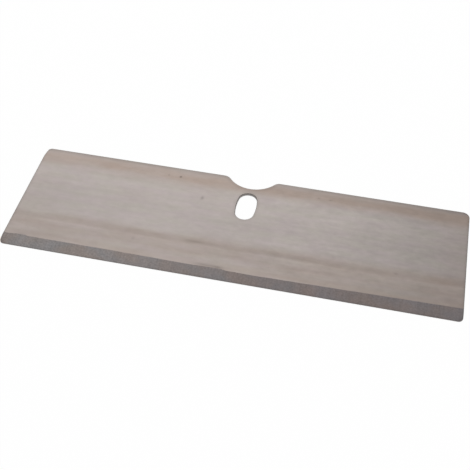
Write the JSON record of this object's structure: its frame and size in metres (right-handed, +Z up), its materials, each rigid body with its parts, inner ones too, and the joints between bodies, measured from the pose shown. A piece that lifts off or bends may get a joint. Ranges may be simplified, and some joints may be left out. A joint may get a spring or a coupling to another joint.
{
  "type": "hoe blade",
  "caption": "Flat steel replacement blade for a hand hoe: one ground cutting edge, a bolt slot and a curved neck notch in the back edge.",
  "frame": {"origin": "middle of the blade's outline, on its flat underside, which lies on the ground", "axes": "+X along the blade, +Y from the cutting edge towards the notched back edge, +Z up out of the bevelled face"},
  "size_m": [0.2, 0.062, 0.0012],
  "materials": {
    "blade_steel": "bare rolled strip with lengthwise brown streaks, ground across the bevel"
  },
  "bodies": {
    "root": {"hoe_blade": "blade_steel"}
  },
  "joints": []
}
